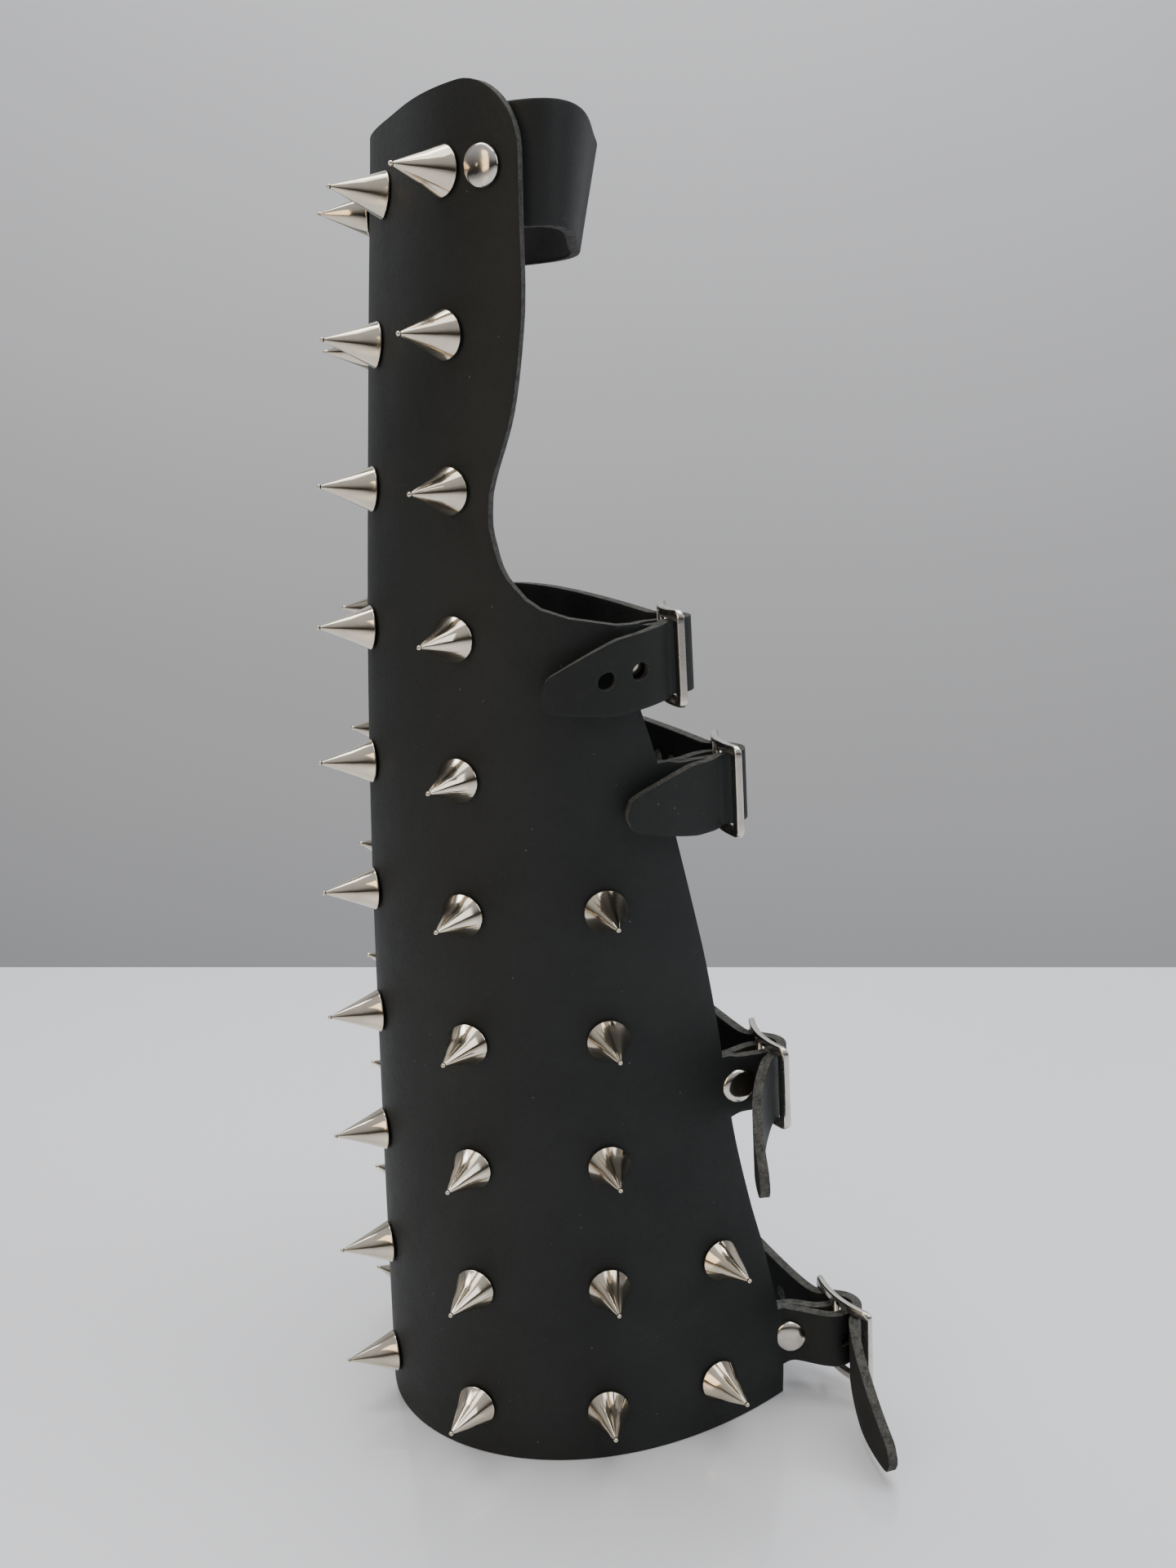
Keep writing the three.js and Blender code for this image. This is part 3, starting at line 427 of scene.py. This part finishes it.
for strap in straps:
    z = strap["height"] * shell_height
    band = np.flatnonzero(np.abs(rows - z) < billet_width / 2 + 1e-6)
    edge = float(half_width(z))
    start = middle_grid[-1, band[across_cells // 2], :2]
    leave = level(shell_point(edge + 0.2, z) - shell_point(edge - 0.2, z))[:2]
    turn = np.radians(strap["turn"])
    v = np.array([np.cos(turn), np.sin(turn)])
    u = np.array([v[1], -v[0]])
    bar = start + [strap["reach"], strap["inset"]]
    buckles.append((bar, u, v, z))

    # The tab runs out to the bar, folds round it and comes back behind itself.
    outer = ease_curve(start, leave, bar + u * fold_radius, v, 60)
    fold_turn = np.radians(np.arange(8, 181, 8))[:, None]
    fold = bar + fold_radius * (u * np.cos(fold_turn) + v * np.sin(fold_turn))
    outer_length = line_lengths(outer)[-1]
    back_length = min(fold_back_length, outer_length + fold_back_length / 3)
    shell_s = edge - np.arange(1, 33) * base_half_width / 64
    shell_line = shell_point(shell_s, z) - half * shell_normal(shell_s, z)
    inwards = np.concatenate([outer[::-1], shell_line[:, :2]])
    inwards = softened(inwards, passes=6)
    d = np.linspace(0, back_length, 24)[1:]
    place, direction = along_line(inwards, d)
    offset = 2 * fold_radius + (leather_thickness + seat_gap - 2 * fold_radius) * smooth_step(
        d, fold_radius * 0.8, back_length * 0.6)
    returned = place - left_of(direction) * offset[:, None]
    tab_line = softened(np.concatenate([outer, fold, returned]), passes=4)
    taper = min(tab_taper_length, outer_length / 2)
    fold_middle = outer_length + fold_radius * np.pi / 2
    tab = strap_grid(
        tab_line, lambda d: billet_width + (tab_width - billet_width) * smooth_step(d, 0, taper),
        lambda d: np.full(len(d), z), 1, [],
        (fold_middle - slot_before_bar, fold_middle + slot_past_bar))

    # The long end crosses from the far edge, goes under the far end bar, over the folded tab
    # and under the near end bar. The two upper ends then lie back along the tab.
    def arc(centre, radius, first, last, count):
        a = np.linspace(first, last, count + 1)[:, None]
        return centre + u * np.sin(a) * radius - v * np.cos(a) * radius

    lace_corner = [
        bar + u * side * end_bar_inner + v * inner_corner_rise for side in (-1, 1)]
    enter = np.radians(12)
    last_turn = -np.pi / 2 if strap["folded"] else -lace_slope
    weave = np.concatenate([
        arc(lace_corner[0], corner_radius, enter, lace_slope, 8),
        arc(bar, over_radius, np.pi + lace_slope, np.pi + last_turn, 30)])
    if strap["folded"]:
        d = np.linspace(0, strap["tail"], 60)[1:]
        place, direction = along_line(inwards, d)
        rise = rivet_seat_gap + rivet_cap_height + tail_rivet_gap - seat_gap
        lift = leather_thickness + seat_gap + rise * smooth_step(
            d, tail_lift_start, strap["rivet"] * 0.6)
        tail = place + left_of(direction) * lift[:, None]
    else:
        leave_turn = np.radians(strap["heading"])
        tail = arc(lace_corner[1], corner_radius, -lace_slope, leave_turn, 8)
        heading = u * np.cos(leave_turn) + v * np.sin(leave_turn)
        d = np.linspace(0, strap["tail"], 30)[1:, None]
        curl = strap["curl"] * d ** 2
        tail = np.concatenate([tail, tail[-1] + heading * d + left_of(heading) * curl])
    mirror = np.array([1, -1])
    crossing = ease_curve(
        start * mirror, leave * mirror, weave[0], u * np.cos(enter) + v * np.sin(enter), 90, 0.5)
    billet_line = softened(np.concatenate([crossing, weave[1:], tail]), passes=3)
    billet_length = line_lengths(billet_line)[-1]
    tail_start = billet_length - strap["tail"]

    def billet_breadth(d):
        """Full width, then a nearly straight taper to the tip, whose two corners are round."""
        left = np.clip(billet_length - d, 0, None)
        share = np.clip(left / (billet_width * 1.05), 0, 1)
        breadth = tail_tip_width + (billet_width - tail_tip_width) * (1 - (1 - share) ** 1.25)
        tip = 2.6
        near_tip = np.clip(tip - left, 0, tip)
        return breadth - 2 * (tip - np.sqrt(tip ** 2 - near_tip ** 2))

    def billet_lift(d):
        return z - np.clip(d - tail_start, 0, None) * strap["droop"]

    finger = bar - u * finger_reach + v * finger_height
    lengths = line_lengths(billet_line)
    finger_d = lengths[np.argmin(np.linalg.norm(billet_line - finger, axis=1))]
    holes = [(finger_d, hole_radius)]
    holes += [(tail_start - spare_hole_start - i * hole_pitch, hole_radius) for i in (1, 2)]
    holes += [(tail_start + i * hole_pitch, hole_radius) for i in range(1, strap["holes"] + 1)]
    billet = strap_grid(billet_line, billet_breadth, billet_lift, -1, holes, None)

    for (middle, out, quads, first), column, side in ((tab, -1, 1), (billet, 0, -1)):
        root = np.stack([shell_index[column, band], first + point_count])
        joint = grid_quads(root)
        sheet_points.append(middle)
        sheet_outs.append(out)
        sheet_quads += [quads + point_count, joint if side > 0 else joint[:, ::-1]]
        point_count += len(middle)

    place, direction = along_line(inwards, np.array([strap["rivet"]]))
    face = place[0] + left_of(direction)[0] * half
    tab_rivets.append((np.array([*face, z]), np.array([*left_of(direction)[0], 0.0])))

points, faces, kind = thick_sheet(
    np.concatenate(sheet_points), np.concatenate(sheet_outs), np.concatenate(sheet_quads),
    leather_thickness)
shell = make_piece("shell-leather", points + ridge_place, faces, leather_finishes, kind)
round_edges(shell, 0.4)
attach(shell, "root")
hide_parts("leather-shell")

# The hand loop: one band of the same leather, riveted inside both edges of the hand plate. It
# bows out for the palm and its middle drops a little.
hand_strap_width, hand_strap_sag, hand_strap_reach, hand_strap_flare = 25.0, 2.5, 31.0, 0.22
hand_z = shell_height - 18.0
hand_edge = 48.7
loop_gap = leather_thickness + seat_gap
loop_rows = hand_z + np.linspace(-0.5, 0.5, 23) * hand_strap_width
under_s = hand_edge + np.linspace(-0.435, 0.26, 17)[:, None] * hand_strap_width
under = shell_point(under_s, loop_rows)
under = (under - (half + loop_gap) * level(shell_normal(under_s, loop_rows)))[..., :2]
loop_start = under[-1]
loop_leave = unit(loop_start - under[-2])
reach = hand_strap_reach + hand_strap_flare * (loop_rows - hand_z)
shoulder = np.stack([loop_start[:, 0] + reach * 0.82, loop_start[:, 1] * 0.38], -1)
front = np.stack([loop_start[:, 0] + reach, loop_start[:, 1] * 0], -1)
towards = np.broadcast_to([0.42, 0.91], shoulder.shape)
half_loop = np.concatenate([
    under, ease_curve(loop_start, loop_leave, shoulder, towards, 34, 1.2)[1:],
    ease_curve(shoulder, towards, front, np.broadcast_to([0.0, 1.0], front.shape), 16)[1:]])
loop = np.concatenate([half_loop, half_loop[:-1][::-1] * [1, -1]])
for _ in range(4):
    loop[1:-1] = 0.25 * loop[:-2] + 0.5 * loop[1:-1] + 0.25 * loop[2:]
loop_d = line_lengths(loop[:, 11])
loop_drop = hand_strap_sag * np.sin(np.pi * loop_d / loop_d[-1]) ** 2
loop_out = -left_of(unit(np.gradient(loop, axis=0)))
loop_height = loop_rows - loop_drop[:, None]
loop_middle = np.concatenate([loop, loop_height[..., None]], -1).reshape(-1, 3)
loop_out = np.concatenate([loop_out, np.zeros((*loop_out.shape[:2], 1))], -1).reshape(-1, 3)
loop_index = np.arange(len(loop_middle)).reshape(loop.shape[:2])
points, faces, kind = thick_sheet(loop_middle, loop_out, grid_quads(loop_index), leather_thickness)
hand_loop = make_piece("hand-loop-leather", points + ridge_place, faces, leather_finishes, kind)
round_edges(hand_loop, 0.4)
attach(hand_loop, "root")
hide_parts("hand-strap")

# The cone spikes: turned and nickel-plated, each held by a screw from inside. They stand in
# columns: one on the ridge and up to three on each side.
spike_radius, spike_length, spike_rim, spike_tip = 5.5, 13.9, 0.5, 0.6
first_row_height, last_row_height, row_count = 13.4, 318.5, 10
column_pitch = 36.6
spike_columns = [("a", 0, 1, 10), ("b", 1, 1, 10), ("c", 1.97, 6, 10), ("d", 2.83, 9, 10)]


def lathe(profile, sides):
    """Profile of radius and height turned round +Z: each point goes round in even steps, and
    the ends on the axis close in a ring of tiny quads."""
    profile = np.asarray(profile, float)
    a = np.arange(sides) * 2 * np.pi / sides
    r, h = np.maximum(profile[:, :1], 0.004), profile[:, 1:]
    points = np.stack([r * np.cos(a), r * np.sin(a), np.broadcast_to(h, (len(r), sides))], -1)
    index = np.arange(len(r) * sides).reshape(len(r), sides)
    quads = grid_quads(np.column_stack([index, index[:, 0]]))
    points = points.reshape(-1, 3)
    caps = []
    for ring, flip in ((index[0], False), (index[-1], True)):
        pairs = ring.reshape(2, -1)
        cap = grid_quads(np.stack([pairs[0], pairs[1][::-1]]))
        caps.append(cap if flip else cap[:, ::-1])
    return points, np.concatenate([quads[:, ::-1], *caps])


def placed(points, place, out):
    """Points turned so that their +Z goes along out, with their origin at place."""
    guide = np.array([0.0, 0.0, 1.0]) if abs(out[2]) < 0.9 else np.array([1.0, 0.0, 0.0])
    x = unit(guide - out * (guide @ out))
    return points @ np.stack([x, np.cross(out, x), out]) + place


def joined(shapes):
    """Several point and quad arrays as one."""
    counts = np.cumsum([0] + [len(p) for p, _ in shapes])
    return (np.concatenate([p for p, _ in shapes]),
            np.concatenate([q + n for (_, q), n in zip(shapes, counts)]))


def spike_look(place):
    """Polished nickel plate: faint turning and buffing marks, a warm cast that is partly the
    plate's own tone and partly painted warm reflection, and a few dull touches."""
    cloud = place.noise(130.0, 3.0)
    scuff = place.noise(900.0, 5.0, 0.75)
    # The warm cast of both colours is partly nickel's own tone and partly painted warm reflection.
    colour = cloud.between(0.3, 0.7).blend((0.70, 0.625, 0.50), (0.56, 0.50, 0.405))
    rough = 0.085 + cloud.between(0.45, 0.8) * 0.07 + scuff.between(0.55, 0.8) * 0.12
    return {"Base Color": colour, "Roughness": rough, "Normal": scuff.bump(0.10, 0.00006)}


spike_finish = finish_of("nickel_spike", {"Metallic": 1.0}, spike_look)
ball = spike_length - spike_tip
spike_profile = np.array([
    (0, 0.02), (spike_radius - 0.25, 0.02), (spike_radius, 0.2), (spike_radius, spike_rim),
    (spike_radius - 0.12, spike_rim + 0.12), (spike_radius * 0.6, spike_length * 0.40),
    (spike_radius * 0.3, spike_length * 0.70), (0.5, ball - 0.62), (0.44, ball - 0.5),
    *[(spike_tip * np.sin(np.pi - a), ball + spike_tip * np.cos(np.pi - a))
      for a in np.radians([45, 70, 90, 110, 135, 155])],
    (0, spike_length)])
spike_shape = lathe(spike_profile, 48)

# Screw heads that hold the spikes sit on the flesh side. Each is a flat pan head; its slot is not
# drawn.
screw_profile = [(0, 0.0), (1.0, 0.0), (2.0, 0.0), (3.9, 0.05), (4.1, -0.25), (4.0, -0.9),
                 (3.5, -1.35), (2.0, -1.55), (0, -1.6)]
screw_shape = lathe(screw_profile[::-1], 40)
row_pitch = (last_row_height - first_row_height) / (row_count - 1)
for label, column, first, last in spike_columns:
    for side, sign in ((("", 1),) if column == 0 else (("near-", 1), ("far-", -1))):
        spikes, screws, nodes = [], [], []
        for row in range(first, last + 1):
            z = first_row_height + (row_count - row) * row_pitch
            s = sign * column * column_pitch
            foot, out = shell_point(s, z), shell_normal(s, z)
            spikes.append((placed(spike_shape[0], foot + out * 0.28, out), spike_shape[1]))
            seat = foot - out * (leather_thickness + 0.1)
            screws.append((placed(screw_shape[0], seat, out), screw_shape[1]))
            nodes.append(f"spike-{side}{label}{row}")
        points, faces = joined(spikes)
        spike_piece = make_piece(
            f"spikes-{side}{label}", points + ridge_place, faces, [spike_finish])
        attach(spike_piece, "root")
        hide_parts(*nodes)
        points, faces = joined(screws)
        screw_piece = make_piece(
            f"spike-screws-{side}{label}", points + ridge_place, faces, [spike_finish])
        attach(screw_piece, "root")

# The rivets: tubular, with a domed nickel cap outside and a flatter cap inside, through the two
# layers of each tab and through the hand loop's ends.
rivet_radius, rivet_shank, rivet_back, rivet_back_height = 4.6, 1.5, 4.0, 0.9


def rivet_shape(stack):
    """Rivet for a stack of leather: shallow dome, rolled rim, shank and flat dished back cap."""
    dome = np.radians(np.linspace(90, 12, 10))
    cap = [(rivet_radius * 0.93 * np.cos(a) / np.cos(dome[-1]),
            0.55 + (rivet_cap_height - 0.45) * np.sin(a) + 0.35) for a in dome]
    cap += [(rivet_radius, 0.75), (rivet_radius, 0.45), (rivet_radius - 0.25, 0.2), (3.2, 0.1)]
    under = -stack
    back = [(rivet_shank, 0.1), (rivet_shank, under - 0.1), (3.6, under - 0.05),
            (rivet_back, under - 0.2), (rivet_back, under - 0.55),
            (rivet_back - 0.4, under - rivet_back_height), (2.2, under - rivet_back_height + 0.1),
            (0, under - rivet_back_height + 0.15)]
    return lathe((cap + back)[::-1], 44)


def rivet_look(place):
    """Polished nickel cap with a soft smear and fine scratches."""
    smear = place.noise(300.0, 4.0, 0.6)
    scratch = place.noise(1500.0, 5.0, 0.8)
    colour = smear.between(0.3, 0.75).blend((0.66, 0.62, 0.56), (0.55, 0.52, 0.47))
    rough = 0.12 + smear.between(0.4, 0.8) * 0.12 + scratch.between(0.55, 0.75) * 0.12
    return {"Base Color": colour, "Roughness": rough, "Normal": smear.bump(0.2, 0.0002)}


rivet_finish = finish_of("nickel_rivet", {"Metallic": 1.0}, rivet_look)
rivets = [(f"tab-rivet-{i + 1}", place, out, 2 * leather_thickness + seat_gap)
          for i, (place, out) in enumerate(tab_rivets)]
for name, s in (("hand-rivet-near", hand_edge), ("hand-rivet-far", -hand_edge)):
    place, out = shell_point(s, hand_z), level(shell_normal(s, hand_z))
    rivets.append((name, place, out, leather_thickness + loop_gap))
for name, place, out, stack in rivets:
    points, faces = rivet_shape(stack)
    points = placed(points, place, out) + ridge_place
    rivet = make_piece(f"{name}-cap", points, faces, [rivet_finish])
    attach(rivet, "root")
    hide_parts(name)

# The buckles: stamped nickel-plated frames with bowed long bars, a round centre bar that the tab
# folds round, and a bent wire prong that lies on the far end bar.


def rounded_loop(length, height, radius, count=14):
    """Points round a rectangle with round corners: each corner is a quarter circle, and the
    straights between them are split evenly."""
    corners = []
    for cx, cy, start in ((1, -1, -90), (1, 1, 0), (-1, 1, 90), (-1, -1, 180)):
        a = np.radians(start + np.linspace(0, 90, 7))
        middle = np.array([cx * (length / 2 - radius), cy * (height / 2 - radius)])
        corners.append(middle + radius * np.stack([np.cos(a), np.sin(a)], -1))
    share = np.linspace(0, 1, count + 2)[1:-1, None]
    loop = []
    for this, following in zip(corners, corners[1:] + corners[:1]):
        loop += [this, this[-1] + (following[0] - this[-1]) * share]
    return np.concatenate(loop)


def frame_shape():
    """Bars whose section is a rectangle with round corners, between an inner and an outer loop,
    raised by bow * (x / half length) squared."""
    outer = rounded_loop(buckle_length, buckle_height, 2.0)
    inner = rounded_loop(buckle_length - 2 * bar_width, buckle_height - 2 * bar_width, 0.8)
    section = rounded_loop(bar_width, bar_thickness, 0.55, 1)
    share = (section[:, :1] / bar_width + 0.5)[..., None]
    flat = inner * (1 - share) + outer * share
    rise = buckle_bow * np.clip(np.abs(flat[..., :1]) / (buckle_length / 2), 0, 1) ** 2
    points = np.concatenate([flat, section[:, 1:, None] + rise], -1)
    index = np.arange(points.shape[0] * points.shape[1]).reshape(points.shape[:2])
    index = np.vstack([np.column_stack([index, index[:, 0]]), [*index[0], index[0, 0]]])
    reach = buckle_height / 2 - bar_width / 2
    bar_points, bar_quads = lathe(
        [(0, -reach), (centre_bar_radius, -reach), (centre_bar_radius, reach), (0, reach)], 24)
    bar_points = bar_points[:, [0, 2, 1]] * [1, 1, -1]
    return joined([(points.reshape(-1, 3), grid_quads(index)[:, ::-1]), (bar_points, bar_quads)])


def prong_shape():
    """Round wire along a hook and a finger in the plane across the bars, with a round tip."""
    wire = 0.85
    ring = centre_bar_radius + seat_gap + wire
    rest = buckle_bow + bar_thickness / 2 + seat_gap + wire
    tip = -(buckle_length / 2 + 0.6)
    a = np.radians(np.arange(-150, 80, 15))
    path = np.stack([ring * np.cos(a), ring * np.sin(a)], -1)
    finger = [(tip * 0.35, ring * 0.95 + (rest - ring) * 0.35),
              (tip * 0.75, rest + (ring - rest) * 0.2), (tip, rest)]
    path = softened(np.concatenate([path, finger]), 0.35, 8)
    d = line_lengths(path)
    direction = unit(np.gradient(path, axis=0))
    left = d[-1] - d
    end_share = np.clip(np.minimum(left, d) / 0.8, 0, 1)
    radius = wire * np.sqrt(np.clip(1 - (1 - end_share) ** 2, 1e-4, 1))
    around = np.linspace(0, 2 * np.pi, 17)[:-1]
    side = left_of(direction)
    sideways = radius[:, None] * np.cos(around)
    x = path[:, :1] + side[:, :1] * sideways
    h = path[:, 1:] + side[:, 1:] * sideways
    points = np.stack([x, radius[:, None] * np.sin(around), h], -1)
    index = np.arange(points.shape[0] * 16).reshape(-1, 16)
    quads = grid_quads(np.column_stack([index, index[:, 0]]))
    ends = []
    for ring_index, flip in ((index[0], False), (index[-1], True)):
        pairs = ring_index.reshape(2, -1)
        cap = grid_quads(np.stack([pairs[0], pairs[1][::-1]]))
        ends.append(cap if flip else cap[:, ::-1])
    return points.reshape(-1, 3), np.concatenate([quads, *[e[:, ::-1] for e in ends]])


def buckle_look(place):
    """Nickel plate over a stamped frame: bright, with dull handling patches and tiny pits."""
    patch = place.noise(210.0, 4.0, 0.6)
    pits = place.noise(1700.0, 4.0, 0.75)
    colour = patch.between(0.35, 0.7).blend((0.66, 0.625, 0.57), (0.52, 0.495, 0.45))
    colour = (pits.between(0.66, 0.76) * 0.6).blend(colour, (0.22, 0.21, 0.20))
    rough = 0.14 + patch.between(0.4, 0.8) * 0.14 + pits.between(0.5, 0.8) * 0.15
    return {"Base Color": colour, "Roughness": rough, "Normal": pits.bump(0.18, 0.00008)}


buckle_finish = finish_of("nickel_buckle", {"Metallic": 1.0}, buckle_look)
for number, (bar, u, v, z) in enumerate(buckles, 1):
    axes = np.array([[*u, 0], [0, 0, -1], [*v, 0]])
    centre = np.array([*bar, z]) + ridge_place
    for (points, faces), name, node in (
            (frame_shape(), f"buckle-{number}-frame", f"buckle-frame-{number}"),
            (prong_shape(), f"buckle-{number}-prong", f"buckle-prong-{number}")):
        piece = make_piece(name, points @ axes + centre, faces, [buckle_finish])
        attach(piece, "root")
        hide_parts(node)

# The camera: the photograph's own standpoint, a little above the guard's middle, seen from the
# buckle side and slightly from the front, for a picture 1440 wide and 1920 high.
camera_place = np.array([-0.11638, -0.35980, 0.26984])
camera_right = np.array([0.93610, -0.34641, -0.06094])
camera_up = np.array([0.14189, 0.21337, 0.96661])
camera_ahead = np.array([0.32184, 0.91349, -0.24890])
focal_pixels, picture_width, picture_height = 1849.1, 1440, 1920
lens = bpy.data.cameras.new("camera")
lens.sensor_width, lens.sensor_fit = 36.0, "AUTO"
lens.lens = focal_pixels * 36.0 / picture_height
lens.clip_start, lens.clip_end = 0.01, 50
camera = bpy.data.objects.new("camera", lens)
bpy.context.collection.objects.link(camera)
pose = np.eye(4)
pose[:3, 0], pose[:3, 1], pose[:3, 2], pose[:3, 3] = (
    camera_right, camera_up, -camera_ahead, camera_place)
camera.matrix_world = Matrix(pose.tolist())
bpy.context.scene.camera = camera

# The table and the backdrop: a pale glossy table top whose far edge crosses the picture level,
# and a plain grey screen well behind it.


def on_ground(x, y):
    """Place on the ground under a pixel of the picture: the ray through it, followed to z = 0."""
    ray = (camera_ahead * focal_pixels + camera_right * (x - picture_width / 2)
           + camera_up * (picture_height / 2 - y))
    return camera_place - ray * camera_place[2] / ray[2]


table_edge_row = 1184
edge_left, edge_right = on_ground(0, table_edge_row), on_ground(picture_width, table_edge_row)
edge_along = unit(edge_right - edge_left)
edge_middle = (edge_left + edge_right) / 2
edge_away = np.array([-edge_along[1], edge_along[0], 0])


def stage_plane(name, corners, colour, roughness, coat):
    """Flat stage piece with a faintly cloudy finish."""
    mesh = bpy.data.meshes.new(name)
    mesh.from_pydata([tuple(c) for c in corners], [], [(0, 1, 2, 3)])

    def look(place):
        cloud = place.noise(2.2, 3.0)
        shade = cloud.between(0.2, 0.8).blend(colour, tuple(c * 0.96 for c in colour))
        return {"Base Color": shade, "Roughness": roughness + cloud * 0.06}

    mesh.materials.append(finish_of(name, {"Coat Weight": coat, "Coat Roughness": 0.08}, look))
    plane = bpy.data.objects.new(name, mesh)
    bpy.context.collection.objects.link(plane)
    return plane


table_drop = np.array([0, 0, -0.0002])
stage_plane("table", [
    edge_middle - edge_along * 4 - edge_away * 5 + table_drop,
    edge_middle + edge_along * 4 - edge_away * 5 + table_drop,
    edge_middle + edge_along * 4 + table_drop,
    edge_middle - edge_along * 4 + table_drop], (0.84, 0.86, 0.90), 0.22, 0.8)
screen_foot = edge_middle + edge_away * 0.9 - np.array([0, 0, 1.5])
stage_plane("backdrop", [
    screen_foot - edge_along * 4, screen_foot + edge_along * 4,
    screen_foot + edge_along * 4 + np.array([0, 0, 5]),
    screen_foot - edge_along * 4 + np.array([0, 0, 5])], (0.70, 0.715, 0.745), 0.6, 0.0)

# The light: soft daylight from above, a large soft panel on the left, a weaker one on the right
# and behind, and a dim room round the horizon, which gives the nickel its dark bands.


def soft_panel(name, place, target, width, height, power, colour):
    """Rectangular lamp at place, turned towards target."""
    lamp = bpy.data.lights.new(name, "AREA")
    lamp.shape, lamp.size, lamp.size_y = "RECTANGLE", width, height
    lamp.energy, lamp.color = power, colour
    panel = bpy.data.objects.new(name, lamp)
    back = unit(np.array(place, float) - np.array(target, float))
    x = unit(np.cross([0.0, 0.0, 1.0], back))
    turned = np.eye(4)
    turned[:3, 0], turned[:3, 1], turned[:3, 2], turned[:3, 3] = x, np.cross(back, x), back, place
    panel.matrix_world = Matrix(turned.tolist())
    bpy.context.collection.objects.link(panel)


soft_panel("top_panel", (0.2, 0.1, 1.5), (0.0, 0.001, 0.1), 1.6, 1.3, 16, (1.0, 0.985, 0.96))
soft_panel("left_panel", (-1.3, -0.5, 0.7), (0.0, 0.0, 0.15), 0.5, 1.0, 5, (1.0, 0.74, 0.46))
soft_panel("right_panel", (1.1, -0.7, 0.8), (0.0, 0.0, 0.15), 0.7, 0.9, 5, (0.95, 0.98, 1.0))
soft_panel("screen_panel", (-0.2, 0.5, 1.9), (0.3, 1.3, 0.3), 1.8, 0.5, 16, (0.96, 0.98, 1.0))
world = bpy.data.worlds.new("room")
world.use_nodes = True
bpy.context.scene.world = world
sky = world.node_tree
ray_place = Wire(sky, sky.nodes.new("ShaderNodeTexCoord").outputs["Generated"])
height = ray_place.node("ShaderNodeSeparateXYZ", {}, {"Vector": ray_place}, 2)
room = (height * 0.5 + 0.5).node("ShaderNodeValToRGB", {"stops": [
    (0.0, (0.30, 0.31, 0.33)), (0.47, (0.035, 0.035, 0.037)), (0.56, (0.09, 0.08, 0.07)),
    (0.72, (0.62, 0.63, 0.65)), (1.0, (0.95, 0.96, 1.0))]}, {"Fac": height * 0.5 + 0.5})
sky.links.new(room.socket, sky.nodes["Background"].inputs["Color"])
sky.nodes["Background"].inputs["Strength"].default_value = 0.75
